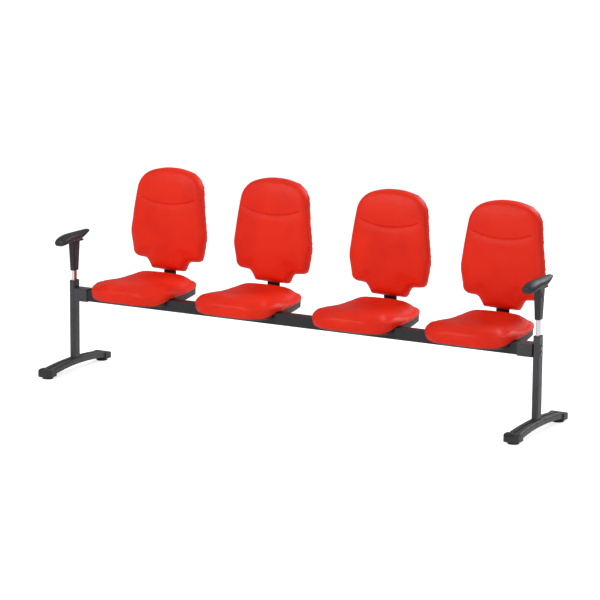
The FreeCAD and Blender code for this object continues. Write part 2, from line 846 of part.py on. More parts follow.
# Foot: an arched casting with a groove along its top and a spigot for the upright
def make_foot(way):
    foot = foot_blank()
    top_edges = []
    for edge in foot.Edges:
        middle = edge.valueAt((edge.FirstParameter + edge.LastParameter) / 2)
        half_way = (foot_crown + foot_under_crown) / 2 - foot_rise * abs(middle.y) / foot_half_length
        if middle.z > half_way and abs(middle.x) > foot_width / 3:
            top_edges.append(edge)
    foot = foot.makeFillet(foot_edge_radius, top_edges)
    groove = Part.Face(arch_wire(foot_crown + beyond, foot_end_top + beyond,
                                 foot_crown - foot_groove_depth, foot_end_top - foot_groove_depth))
    groove.translate(vec(-foot_groove_width / 2, 0, 0))
    groove = groove.extrude(vec(foot_groove_width, 0, 0))
    seat_half = upright_depth / 2 + foot_groove_stop
    keep = box_between(vec(-foot_width / 2, -seat_half, 0), vec(foot_width / 2, seat_half, 3 * foot_crown))
    foot = foot.cut(groove.cut(keep))
    pad = box_between(vec(-upright_width / 2, -upright_depth / 2, foot_under_crown),
                      vec(upright_width / 2, upright_depth / 2, foot_crown))
    foot = foot.fuse(pad)
    foot.translate(vec(upright_x, beam_y, 0))
    spigot = oval_prism(
        upright_width - 2 * upright_wall, upright_depth - 2 * upright_wall,
        upright_corner - upright_wall, upright_x, foot_under_crown, foot_crown + spigot_height,
    )
    foot = foot.fuse(spigot).removeSplitter()
    for along in (-glide_y, glide_y):
        bore = Part.makeCylinder(glide_stud_radius + glide_fit, glide_stud_top + past,
                                 vec(upright_x, beam_y + along, 0))
        foot = foot.cut(bore)
    below = vec(upright_x, beam_y, foot_under_crown - past)
    recess = Part.makeCylinder(foot_recess_radius, foot_bolt_recess + past, below)
    shank = Part.makeCylinder(large_bolt[0] + bolt_air, foot_thickness + spigot_height, below)
    return handed(foot.cut(recess).cut(shank), way)


# Foot caps: moulded ends pushed over the tips of the foot
def make_caps(way):
    near = foot_half_length + cap_overhang - cap_length
    far = foot_half_length + cap_overhang
    half = foot_end_width / 2 + cap_side_wall
    outline = [(-half, near, 0), (half, near, 0), (half, far, cap_corner), (-half, far, cap_corner)]
    low = glide_height + glide_air
    top = foot_end_top + cap_top_wall
    cap = rounded_prism(outline, flat_at(low), vec(0, 0, top - low))
    fall = cap_slope_drop * (cap_slope_run + past) / cap_slope_run
    slope = [
        (far - cap_slope_run, top, 0),
        (far + past, top - fall, 0),
        (far + past, top + past, 0),
        (far - cap_slope_run, top + past, 0),
    ]
    shave = rounded_prism(slope, side_plane, vec(2 * half + 2 * past, 0, 0))
    shave.translate(vec(-half - past, 0, 0))
    stud = Part.makeCylinder(glide_stud_radius + stud_hole_air, glide_stud_top, vec(0, glide_y, 0))
    front = cap.cut(shave).cut(foot_blank()).cut(stud)
    rear = front.copy()
    front.rotate(vec(0, 0, 0), vec(0, 0, 1), 180)
    caps = Part.makeCompound([front, rear])
    caps.translate(vec(way * upright_x, beam_y, 0))
    return caps


# Levelling glide: a disc with a threaded stud that screws up into the foot
def make_glide(way, end):
    disc = Part.makeCylinder(glide_radius, glide_height)
    disc = disc.makeFillet(glide_rim, [disc.Edges[0]])
    stud = Part.makeCylinder(glide_stud_radius, glide_stud_top)
    glide = disc.fuse(stud)
    glide.translate(vec(way * upright_x, beam_y + end * glide_y, 0))
    return glide


# Arm sleeve: the moulded slider over the post, widening into the flange under the pad
def make_sleeve(way):
    base = upright_top + chrome_shown["right" if way > 0 else "left"]

    def ring(width, depth, height):
        outline = mirrored([(width / 2, -depth / 2, sleeve_corner), (width / 2, depth / 2, sleeve_corner)])
        wire = rounded_wire(outline, flat_at(height))
        wire.translate(vec(way * upright_x, beam_y, 0))
        return wire
    flange_low = base + sleeve_height - flange_thickness
    body = Part.makeLoft([
        ring(sleeve_foot_width, sleeve_foot_depth, base),
        ring(sleeve_head_width, sleeve_head_depth, flange_low),
    ], True, True)
    flange = rounded_prism(
        mirrored([(flange_width / 2, -flange_length / 2, flange_corner),
                  (flange_width / 2, flange_length / 2, flange_corner)]),
        flat_at(flange_low), vec(0, 0, flange_thickness))
    flange.translate(vec(way * upright_x, beam_y, 0))
    fit = 2 * sleeve_fit
    bore = oval_prism(post_width + fit, post_depth + fit, post_width / 2 + sleeve_fit - 0.01,
                      way * upright_x, base - past, base + sleeve_bore_depth)
    sleeve = body.fuse(flange).cut(bore)
    sleeve = sleeve.cut(button_shape(way, base, button_fit, button_pocket))
    for place in arm_screw_places(way, base):
        sleeve = drilled(sleeve, arm_screw_size, flange_thickness + past, place, vec(0, 0, 1))
    return sleeve


def sleeve_face(height):
    share = height / (sleeve_height - flange_thickness)
    return (sleeve_foot_width + (sleeve_head_width - sleeve_foot_width) * share) / 2


def button_shape(way, base, growth, depth):
    # A round-ended push button, lying along Z on the outer face of the sleeve.
    face = sleeve_face(button_height)
    half_y = button_width / 2 + growth
    half_z = button_length / 2 + growth
    outline = mirrored([(half_y, -half_z, half_y - 0.01), (half_y, half_z, half_y - 0.01)])
    reach = depth + (sleeve_head_width if growth > 0 else 0)
    shape = rounded_prism(outline, side_plane, vec(reach, 0, 0))
    inner = face - depth if growth > 0 else face - button_pocket + button_travel + button_fit
    shape.translate(vec(upright_x + inner, beam_y, base + button_height))
    return handed(shape, way)


def arm_screw_places(way, base):
    low = base + sleeve_height - flange_thickness
    reach = flange_length / 2 - arm_screw_inset
    return [vec(way * upright_x, beam_y + along, low) for along in (-reach, reach)]


# Arm pad: firm integral-skin foam, thick at the drooping nose and thin at the tail
def make_pad(way):
    base = upright_top + chrome_shown["right" if way > 0 else "left"] + sleeve_height
    sections = []
    for share in (0.0, 0.03, 0.1, 0.22, 0.38, 0.55, 0.72, 0.86, 0.95, 1.0):
        along = pad_front + (pad_rear - pad_front) * share
        nose = math.sqrt(max(0.0, 1 - max(0.0, (0.22 - share) / 0.232) ** 2))
        tail = max(0.0, (share - 0.55) / 0.45)
        half = pad_half_width * (0.45 + 0.55 * nose) * (1 - 0.6 * tail ** 1.6)
        droop = pad_nose_droop * max(0.0, 1 - share / 0.4) ** 2
        top = base + pad_thickness - droop - (1 - nose) * 9
        bottom = base - 1.1 * droop + pad_tail_rise * tail ** 1.2 + (1 - nose) * 8
        if 0.22 < share < 0.75:
            bottom = base + pad_tail_rise * tail ** 1.2
        crown = 0.22 * (top - bottom)
        foot_x = half * 0.72
        edge_x = half * 0.8
        middle = bottom + (top - bottom) * 0.5
        section = Part.Wire([
            Part.LineSegment(vec(-foot_x, along, bottom), vec(foot_x, along, bottom)).toShape(),
            Part.Arc(vec(foot_x, along, bottom), vec(half, along, middle),
                     vec(edge_x, along, top - crown)).toShape(),
            Part.Arc(vec(edge_x, along, top - crown), vec(0, along, top),
                     vec(-edge_x, along, top - crown)).toShape(),
            Part.Arc(vec(-edge_x, along, top - crown), vec(-half, along, middle),
                     vec(-foot_x, along, bottom)).toShape(),
        ])
        sections.append(section)
    pad = Part.makeLoft(sections, True, False)
    level = box_between(vec(-beyond, -flange_length / 2 - slot_air, base - beyond),
                        vec(beyond, flange_length / 2 + slot_air, base))
    pad = pad.cut(level)
    pad.translate(vec(way * upright_x, beam_y, 0))
    for place in arm_screw_places(way, base - sleeve_height):
        pad = drilled(pad, arm_screw_size, arm_screw_grip + past, place, vec(0, 0, 1))
    return pad


def group(size, list_of_bolts):
    return Part.makeCompound([bolt(size, length, start, direction)
                              for start, direction, length in list_of_bolts])


def back_shell_screws(seat_x):
    screws = []
    for x, height in back_screw_places():
        depth = back_shell_depth - spot_face_depth
        seat_face = back_arc_y(back_radius - back_board_thickness - depth, height)
        marker = place_back(Part.Vertex(vec(x, seat_face, height)), seat_x)
        direction = FreeCAD.Rotation(vec(1, 0, 0), -back_lean).multVec(vec(0, -1, 0))
        screws.append((marker.Point, direction, depth + bolt_tail))
    return screws


def seat_shell_screws(seat_x):
    length = board_bottom - pan_floor + screw_bite
    return [(place, vec(0, 0, 1), length) for place in seat_screw_places(seat_x)]


def drill_all(shape, size, bolts):
    for start, direction, length in bolts:
        shape = drilled(shape, size, length, start, direction)
    return shape


def main():
    os.makedirs("parts", exist_ok=True)
    beam = make_beam()
    all_clamp, all_board, all_shell, all_frame = [], [], [], []
    for number, seat_x in enumerate(seat_places, 1):
        clamp = clamp_bolts(seat_x)
        under = seat_board_bolts(seat_x)
        behind = back_board_bolts(seat_x)
        shell = seat_shell_screws(seat_x)
        rear_shell = back_shell_screws(seat_x)
        beam = drill_all(beam, clamp_bolt, clamp)
        mount = drill_all(make_seat_mount(seat_x), clamp_bolt, clamp)
        mount = drill_all(mount, board_bolt, under)
        board = drill_all(make_seat_board(seat_x), board_bolt, under)
        bar = drill_all(make_back_bar(seat_x), board_bolt, under + behind)
        back_board = drill_all(make_back_board(seat_x), board_bolt, behind)
        tag = "_" + str(number)
        save(make_seat_cushion(seat_x), "seat_cushion" + tag)
        save(drill_all(board, shell_screw, shell), "seat_board" + tag)
        save(drill_all(make_seat_pan(seat_x), shell_screw, shell), "seat_shell" + tag)
        save(mount, "seat_mount" + tag)
        save(bar, "back_bar" + tag)
        save(make_back_cushion(seat_x), "back_cushion" + tag)
        save(drill_all(back_board, shell_screw, rear_shell), "back_board" + tag)
        back_shell = drill_all(make_back_shell(seat_x), shell_screw, rear_shell)
        save(spot_faced(back_shell, shell_screw, rear_shell), "back_shell" + tag)
        all_clamp += clamp
        all_board += under + behind
        all_shell += shell + rear_shell
    collars = []
    for side, way in sides.items():
        base = upright_top + chrome_shown[side]
        bolts = frame_bolts(way)
        save(drill_all(make_bracket(way), large_bolt, bolts[:2]), "beam_bracket_" + side)
        save(make_upright(way), "upright_" + side)
        save(make_foot(way), "foot_" + side)
        save(make_caps(way), "foot_caps_" + side)
        for name, end in (("front", -1), ("rear", 1)):
            save(make_glide(way, end), "glide_" + side + "_" + name)
        save(make_post(way), "arm_post_" + side)
        save(make_sleeve(way), "arm_sleeve_" + side)
        save(make_pad(way), "arm_pad_" + side)
        save(button_shape(way, base, 0, button_depth), "arm_button_" + side)
        screws = [(place, vec(0, 0, 1), arm_screw_grip) for place in arm_screw_places(way, base)]
        save(group(arm_screw_size, screws), "arm_screws_" + side)
        collars.append(make_collar(way))
        all_frame += bolts
    save(beam, "beam")
    save(Part.makeCompound(collars), "post_collars")
    save(group(clamp_bolt, all_clamp), "clamp_bolts")
    save(group(board_bolt, all_board), "board_bolts")
    save(group(shell_screw, all_shell), "shell_screws")
    save(group(large_bolt, all_frame), "frame_bolts")


main()
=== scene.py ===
import math
import bmesh
import bpy
import numpy as np
from mathutils import Matrix, Vector
from mathutils.bvhtree import BVHTree


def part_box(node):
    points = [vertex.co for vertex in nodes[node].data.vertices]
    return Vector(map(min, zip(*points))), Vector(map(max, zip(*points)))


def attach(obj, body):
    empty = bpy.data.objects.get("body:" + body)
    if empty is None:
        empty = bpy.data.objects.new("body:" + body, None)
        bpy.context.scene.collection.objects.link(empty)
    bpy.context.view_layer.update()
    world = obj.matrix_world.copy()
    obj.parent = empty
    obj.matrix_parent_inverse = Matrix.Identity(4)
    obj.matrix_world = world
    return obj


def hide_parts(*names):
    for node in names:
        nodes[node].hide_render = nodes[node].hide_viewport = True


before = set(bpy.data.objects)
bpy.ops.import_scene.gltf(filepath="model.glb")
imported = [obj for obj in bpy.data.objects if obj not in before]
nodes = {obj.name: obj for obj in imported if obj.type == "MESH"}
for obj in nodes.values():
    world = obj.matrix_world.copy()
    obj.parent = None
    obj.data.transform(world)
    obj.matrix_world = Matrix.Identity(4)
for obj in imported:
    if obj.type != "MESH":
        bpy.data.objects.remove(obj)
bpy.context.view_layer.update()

seats = ("1", "2", "3", "4")
ends = ("left", "right")


# The beam is one steel tube, 50 mm square with a 3 mm wall, that carries the four seats.
# It is cut to length, powder coated in black as a single length, and slid into a socket at each end.
def srgb(red, green, blue):
    # A colour as it looks on a screen, 0 to 255, turned into the linear light that a shader wants.
    return [((c / 255 + 0.055) / 1.055) ** 2.4 if c > 10 else c / 255 / 12.92 for c in (red, green, blue)]


def new_finish(name, colour, roughness, metallic=0.0):
    finish = bpy.data.materials.new(name)
    finish.use_nodes = True
    tree = finish.node_tree
    shader = tree.nodes["Principled BSDF"]
    shader.inputs["Base Color"].default_value = (*colour, 1)
    shader.inputs["Roughness"].default_value = roughness
    shader.inputs["Metallic"].default_value = metallic
    place = tree.nodes.new("ShaderNodeTexCoord").outputs["Object"]
    return finish, tree, shader, place


def noise(tree, place, scale, detail=2.0):
    node = tree.nodes.new("ShaderNodeTexNoise")
    node.inputs["Scale"].default_value = scale
    node.inputs["Detail"].default_value = detail
    tree.links.new(place, node.inputs["Vector"])
    return node.outputs["Fac"]


def between(tree, factor, low, high, start=0.3, end=0.7):
    # Two colours, or two numbers, mixed by a pattern.
    if isinstance(low, (list, tuple)):
        ramp = tree.nodes.new("ShaderNodeValToRGB")
        ramp.color_ramp.elements[0].position = start
        ramp.color_ramp.elements[1].position = end
        ramp.color_ramp.elements[0].color = (*low, 1)
        ramp.color_ramp.elements[1].color = (*high, 1)
        tree.links.new(factor, ramp.inputs["Fac"])
        return ramp.outputs["Color"]
    spread = tree.nodes.new("ShaderNodeMapRange")
    for socket, value in zip(("From Min", "From Max", "To Min", "To Max"), (start, end, low, high)):
        spread.inputs[socket].default_value = value
    tree.links.new(factor, spread.inputs["Value"])
    return spread.outputs["Result"]


def raised(tree, shader, height, distance, strength=1.0, under=None):
    bump = tree.nodes.new("ShaderNodeBump")
    bump.inputs["Strength"].default_value = strength
    bump.inputs["Distance"].default_value = distance
    tree.links.new(height, bump.inputs["Height"])
    if under is not None:
        tree.links.new(under, bump.inputs["Normal"])
    tree.links.new(bump.outputs["Normal"], shader.inputs["Normal"])
    return bump.outputs["Normal"]


def powder_coat(name, colour, lighter, roughness):
    # Baked powder: a faint orange peel, a slightly cloudy gloss and dust-pale high spots.
    finish, tree, shader, place = new_finish(name, colour, roughness)
    tree.links.new(between(tree, noise(tree, place, 14, 4), colour, lighter), shader.inputs["Base Color"])
    cloud = noise(tree, place, 55, 3)
    tree.links.new(between(tree, cloud, roughness - 0.06, roughness + 0.08), shader.inputs["Roughness"])
    raised(tree, shader, noise(tree, place, 900, 2), 0.00012, 0.5)
    return finish


def dress(names, finish):
    for name in names:
        nodes[name].data.materials.clear()
        nodes[name].data.materials.append(finish)


black_coat = powder_coat("black_powder_coat", srgb(17, 17, 23), srgb(26, 26, 34), 0.46)
dress(["beam"], black_coat)


# Each seat stands on a folded steel saddle that straddles the beam and is clamped through its cheeks.
# Saddle and bolts are out of sight from the front: black coated plate and zinc plated hexagon bolts.
def plated(name, colour, roughness):
    # Zinc plating: a fine satin with a faint cloudiness in its gloss.
    finish, tree, shader, place = new_finish(name, colour, roughness, 1.0)
    cloud = noise(tree, place, 160, 4)
    tree.links.new(between(tree, cloud, roughness - 0.1, roughness + 0.12), shader.inputs["Roughness"])
    tree.links.new(between(tree, cloud, colour, [0.8 * c for c in colour]), shader.inputs["Base Color"])
    raised(tree, shader, noise(tree, place, 2200, 2), 0.00004, 0.4)
    return finish


zinc = plated("zinc_plate", srgb(176, 178, 182), 0.34)
dress(["seat_mount_" + n for n in seats], black_coat)
dress(["clamp_bolts", "board_bolts", "frame_bolts"], zinc)


# The seat board is a 10 mm plywood panel that the foam and cover are pulled over and stapled to.
# Its face veneer runs front to back, and its cut edge shows the plies.
def plywood(name):
    finish, tree, shader, place = new_finish(name, srgb(196, 160, 112), 0.6)
    stretch = tree.nodes.new("ShaderNodeMapping")
    stretch.inputs["Scale"].default_value = (60, 4, 320)
    tree.links.new(place, stretch.inputs["Vector"])
    grain = noise(tree, stretch.outputs["Vector"], 1, 5)
    tree.links.new(between(tree, grain, srgb(168, 126, 80), srgb(212, 178, 130)), shader.inputs["Base Color"])
    tree.links.new(between(tree, grain, 0.7, 0.5), shader.inputs["Roughness"])
    raised(tree, shader, grain, 0.0003, 0.4)
    return finish


veneer = plywood("plywood")
dress(["seat_board_" + n for n in seats], veneer)


# The seat cushion is moulded foam under red leatherette, dished for the sitter, with a high front edge.
# The cover is drawn tight over the foam and turned under the board, so it has no seam on top.
def leatherette(name, colour, deeper):
    # Coated cloth: pebbled grain of about a millimetre, fine creases between the pebbles, a soft shine.
    finish, tree, shader, place = new_finish(name, colour, 0.45)
    shader.inputs["Specular IOR Level"].default_value = 0.22
    wander = noise(tree, place, 7, 3)
    tree.links.new(between(tree, wander, deeper, colour, 0.25, 0.6), shader.inputs["Base Color"])
    pebble = tree.nodes.new("ShaderNodeTexVoronoi")
    pebble.feature = "SMOOTH_F1"
    pebble.inputs["Scale"].default_value = 620
    pebble.inputs["Randomness"].default_value = 0.9
    tree.links.new(place, pebble.inputs["Vector"])
    gloss = between(tree, pebble.outputs["Distance"], 0.4, 0.56, 0.1, 0.7)
    tree.links.new(gloss, shader.inputs["Roughness"])
    grain = raised(tree, shader, pebble.outputs["Distance"], -0.00022, 0.55)
    raised(tree, shader, noise(tree, place, 90, 4), 0.0006, 0.12, grain)
    return finish


def linked(name, mesh, finish):
    piece = bpy.data.objects.new(name, mesh)
    bpy.context.scene.collection.objects.link(piece)
    mesh.materials.clear()
    mesh.materials.append(finish)
    for face in mesh.polygons:
        face.use_smooth = True
    return piece


def joined_copy(name):
    # A CAD node's mesh with its loose triangles joined at their corners.
    mesh = nodes[name].data.copy()
    shape = bmesh.new()
    shape.from_mesh(mesh)
    bmesh.ops.remove_doubles(shape, verts=shape.verts, dist=1e-5)
    shape.to_mesh(mesh)
    shape.free()
    return mesh


def worked(mesh, add_modifiers):
    # The mesh as some modifiers leave it.
    trial = bpy.data.objects.new("trial", mesh)
    bpy.context.scene.collection.objects.link(trial)
    add_modifiers(trial)
    depsgraph = bpy.context.evaluated_depsgraph_get()
    result = bpy.data.meshes.new_from_object(trial.evaluated_get(depsgraph))
    bpy.data.objects.remove(trial)
    return result


def remeshed(mesh, voxel, smoothing):
    def add(trial):
        remesh = trial.modifiers.new("voxels", "REMESH")
        remesh.mode = "VOXEL"
        remesh.voxel_size = voxel
        ease = trial.modifiers.new("ease", "SMOOTH")
        ease.factor = 0.5
        ease.iterations = smoothing
    return worked(mesh, add)


def subdivided(mesh):
    def add(trial):
        finer = trial.modifiers.new("finer", "SUBSURF")
        finer.levels = finer.render_levels = 1
    return worked(mesh, add)


def corners(mesh):
    flat = np.empty(len(mesh.vertices) * 3, np.float32)
    mesh.vertices.foreach_get("co", flat)
    return flat.reshape(-1, 3).astype(float)


def facings(mesh):
    normals = np.empty(len(mesh.vertices) * 3, np.float32)
    mesh.vertices.foreach_get("normal", normals)
    return normals.reshape(-1, 3)


def move_corners(mesh, places):
    mesh.vertices.foreach_set("co", places.astype(np.float32).ravel())
    mesh.update()


def puffed(mesh, held, pressure, most):
    # Cloth over foam: the cover is blown out a little, except where it is held down.
    start = corners(mesh)
    trial = bpy.data.objects.new("cover", mesh)
    bpy.context.scene.collection.objects.link(trial)
    group = trial.vertex_groups.new(name="held")
    group.add([int(i) for i in np.nonzero(held)[0]], 1.0, "REPLACE")
    cloth = trial.modifiers.new("cover", "CLOTH")
    cloth.settings.quality = 4
    cloth.settings.mass = 0.3
    cloth.settings.tension_stiffness = 12
    cloth.settings.bending_stiffness = 8
    cloth.settings.use_pressure = True
    cloth.settings.uniform_pressure_force = pressure
    cloth.settings.vertex_group_mass = "held"
    cloth.settings.effector_weights.gravity = 0
    cloth.collision_settings.use_collision = False
    scene = bpy.context.scene
    for step in range(1, 21):
        scene.frame_set(step)
    depsgraph = bpy.context.evaluated_depsgraph_get()
    blown = bpy.data.meshes.new_from_object(trial.evaluated_get(depsgraph))
    bpy.data.objects.remove(trial)
    scene.frame_set(1)
    step = corners(blown) - start
    far = np.linalg.norm(step, axis=1, keepdims=True)
    step *= np.minimum(1.0, most / np.maximum(far, 1e-9))
    ends_of = np.empty(len(blown.edges) * 2, np.int32)
    blown.edges.foreach_get("vertices", ends_of)
    one, other = ends_of.reshape(-1, 2).T
    links = np.maximum(1, np.bincount(ends_of, minlength=len(start)))[:, None]
    for _ in range(14):
        total = np.zeros_like(step)
        np.add.at(total, one, step[other])
        np.add.at(total, other, step[one])
        step = 0.4 * step + 0.6 * total / links
        step[held] = 0
    move_corners(blown, start + step)
    return blown


def drawn_in(mesh, amount, free):
    # Moves the surface inwards along its normals, to leave room for the cover to swell.
    move_corners(mesh, corners(mesh) - amount * free[:, None] * facings(mesh))
    return mesh


red_cover = leatherette("red_leatherette", srgb(242, 44, 18), srgb(230, 36, 14))
swell = 0.003
voxel = 0.005
seat = remeshed(joined_copy("seat_cushion_1"), voxel, 4)
free = (facings(seat)[:, 2] > -0.55).astype(float)
seat = drawn_in(seat, swell, free)
seat = subdivided(puffed(seat, free < 0.5, 4.0, swell + 0.001))
for n in seats:
    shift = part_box("seat_cushion_" + n)[0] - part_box("seat_cushion_1")[0]
    cover = seat.copy()
    cover.transform(Matrix.Translation(shift))
    piece = linked("seat_cover_" + n, cover, red_cover)
    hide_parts("seat_cushion_" + n)
    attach(piece, "frame")


# The seat shell is a black moulded pan that closes the underside of the cushion and clears the beam.
# It is polypropylene with a fine spark texture, screwed up into the board by four screws.
def moulded(name, colour, lighter, roughness, grain=1400, depth=0.00016):
    # Injection moulding: an even fine texture with a dull shine that varies a little.
    finish, tree, shader, place = new_finish(name, colour, roughness)
    tree.links.new(between(tree, noise(tree, place, 22, 3), colour, lighter), shader.inputs["Base Color"])
    cloud = noise(tree, place, 40, 2)
    tree.links.new(between(tree, cloud, roughness - 0.05, roughness + 0.07), shader.inputs["Roughness"])
    raised(tree, shader, noise(tree, place, grain, 3), depth, 0.5)
    return finish


shell_plastic = moulded("shell_plastic", srgb(20, 21, 27), srgb(28, 29, 37), 0.55)
dress(["seat_shell_" + n for n in seats], shell_plastic)


# The back hangs on one flat steel bar, bent up behind the seat, and bolted to a curved plywood board.
# Bar and board are covered from behind by a moulded shell with a rolled edge.
dress(["back_bar_" + n for n in seats], black_coat)
dress(["back_board_" + n for n in seats], veneer)
dress(["back_shell_" + n for n in seats], shell_plastic)


# The back cushion is tall foam under the same red cover, crowned across and soft at its rim.
# A single curved channel is sewn across it below the shoulders, and it ends in a tongue at the bottom.
def outline_points(half, step=0.004):
    # The right half of an outline, each corner with its radius, rounded and mirrored into a closed line.
    rounded = []
    whole = half + [(-x, h, r) for x, h, r in reversed(half)]
    for index, (x, h, radius) in enumerate(whole):
        here = Vector((x, h))
        back = (Vector(whole[index - 1][:2]) - here).normalized()
        ahead = (Vector(whole[(index + 1) % len(whole)][:2]) - here).normalized()
        bend = back.angle(ahead) / 2
        centre = here + (back + ahead).normalized() * radius / math.sin(bend)
        first = here + back * radius / math.tan(bend) - centre
        turn = math.pi - 2 * bend
        if back.cross(ahead) > 0:
            turn = -turn
        count = max(2, int(radius * abs(turn) / step))
        for part in range(count + 1):
            angle = turn * part / count
            spun = Vector((first.x * math.cos(angle) - first.y * math.sin(angle),
                           first.x * math.sin(angle) + first.y * math.cos(angle)))
            rounded.append(centre + spun)
    return np.array([tuple(p) for p in rounded])


def inside_by(points, outline):
    # How far points lie inside a closed line, and below nought outside it.
    start, end = outline, np.roll(outline, -1, axis=0)
    along = end - start
    length = np.maximum((along ** 2).sum(1), 1e-12)
    nearest = np.full(len(points), 1e9)
    crossings = np.zeros(len(points), int)
    for a, b, run, size in zip(start, end, along, length):
        share = np.clip(((points - a) @ run) / size, 0, 1)
        gap = points - a - share[:, None] * run
        nearest = np.minimum(nearest, (gap ** 2).sum(1))
        straddles = (a[1] > points[:, 1]) != (b[1] > points[:, 1])
        if abs(run[1]) > 1e-12:
            meets = a[0] + (points[:, 1] - a[1]) * run[0] / run[1]
            crossings += straddles & (points[:, 0] < meets)
    return np.where(crossings % 2 == 1, 1, -1) * np.sqrt(nearest)


back_line = outline_points([
    (0.084, 0.000, 0.013),
    (0.113, 0.050, 0.018),
    (0.185, 0.053, 0.040),
    (0.2035, 0.174, 0.150),
    (0.168, 0.443, 0.101),
    (0.0525, 0.479, 0.300),
])
back_radius = 1.400
back_apex = 0.190
back_crown = 0.044
back_side = 0.033
back_crown_half = 0.2135
back_rim = 0.026
rim_power = 2.3
seam_height = 0.314
seam_rise = 0.028
seam_half = 0.150


def board_face(height):
    return back_radius - np.sqrt(back_radius ** 2 - (height - back_apex) ** 2)


def off_the_back(places):
    # How far outside the crowned cushion points are, in units of its own thickness.
    depth = board_face(places[:, 2]) - places[:, 1]
    full = back_crown - swell - (back_crown - back_side) * (places[:, 0] / back_crown_half) ** 2
    inside = inside_by(places[:, (0, 2)], back_line) - swell
    across = np.maximum(0.0, 1 - inside / back_rim)
    return across ** rim_power + np.maximum(0.0, depth / full) ** rim_power - 1


def fitted(places, loose):
    # Slides points along the steepest way onto the cushion's surface.
    nudge = 0.0005
    for _ in range(4):
        value = off_the_back(places)
        slope = np.stack([off_the_back(places + nudge * axis) - value for axis in np.eye(3)], 1) / nudge
        step = value[:, None] * slope / np.maximum((slope ** 2).sum(1), 40.0)[:, None]
        size = np.linalg.norm(step, axis=1, keepdims=True)
        step *= np.minimum(1.0, 0.006 / np.maximum(size, 1e-9))
        places = places - step * loose[:, None]
    return places


def seam_line(x):
    # The sewn channel's height over the cushion's width: an arc, low in the middle.
    radius = (seam_half ** 2 + seam_rise ** 2) / (2 * seam_rise)
    return seam_height + radius - np.sqrt(radius ** 2 - np.minimum(np.abs(x), 0.2) ** 2)


back_place = Matrix.Translation((0, 0.2394, 0.440)) @ Matrix.Rotation(math.radians(-2.5), 4, "X")
first_x = (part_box("back_cushion_1")[0].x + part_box("back_cushion_1")[1].x) / 2
back = joined_copy("back_cushion_1")
back.transform(back_place.inverted() @ Matrix.Translation((-first_x, 0, 0)))
back = remeshed(back, voxel, 3)
places = corners(back)
depth = board_face(places[:, 2]) - places[:, 1]
outermost = inside_by(places[:, (0, 2)], back_line) < 0.003
loose = ((depth > 0.004) | (outermost & (depth > -0.008))).astype(float)
places = fitted(places, loose)
move_corners(back, places)
on_front = board_face(places[:, 2]) - places[:, 1] > 0.02
on_seam = (np.abs(places[:, 2] - seam_line(places[:, 0])) < 0.0045) & (np.abs(places[:, 0]) < seam_half)
back = puffed(back, (loose < 0.5) | (on_front & on_seam), 4.0, swell + 0.0015)
back = subdivided(back)
shape = bmesh.new()
shape.from_mesh(back)
near_seam = []
for edge in shape.edges:
    middle = (edge.verts[0].co + edge.verts[1].co) / 2
    if middle.y < 0 and abs(middle.x) < seam_half + 0.012:
        if abs(middle.z - float(seam_line(middle.x))) < 0.011:
            near_seam.append(edge)
bmesh.ops.subdivide_edges(shape, edges=near_seam, cuts=2, use_grid_fill=True)
bmesh.ops.triangulate(shape, faces=[face for face in shape.faces if len(face.verts) > 4])
shape.to_mesh(back)
shape.free()
places = corners(back)
carved_depth, carved_width = 0.0042, 0.0026
off_seam = np.abs(places[:, 2] - seam_line(places[:, 0]))
fade = np.clip((seam_half + 0.004 - np.abs(places[:, 0])) / 0.02, 0, 1)
front = (board_face(places[:, 2]) - places[:, 1] > 0.02).astype(float)
places[:, 1] += carved_depth * front * fade * np.exp(-(off_seam / carved_width) ** 2)
move_corners(back, places)
for n in seats:
    low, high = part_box("back_cushion_" + n)
    cover = back.copy()
    cover.transform(Matrix.Translation(((low.x + high.x) / 2, 0, 0)) @ back_place)
    piece = linked("back_cover_" + n, cover, red_cover)
    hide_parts("back_cushion_" + n)
    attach(piece, "frame")


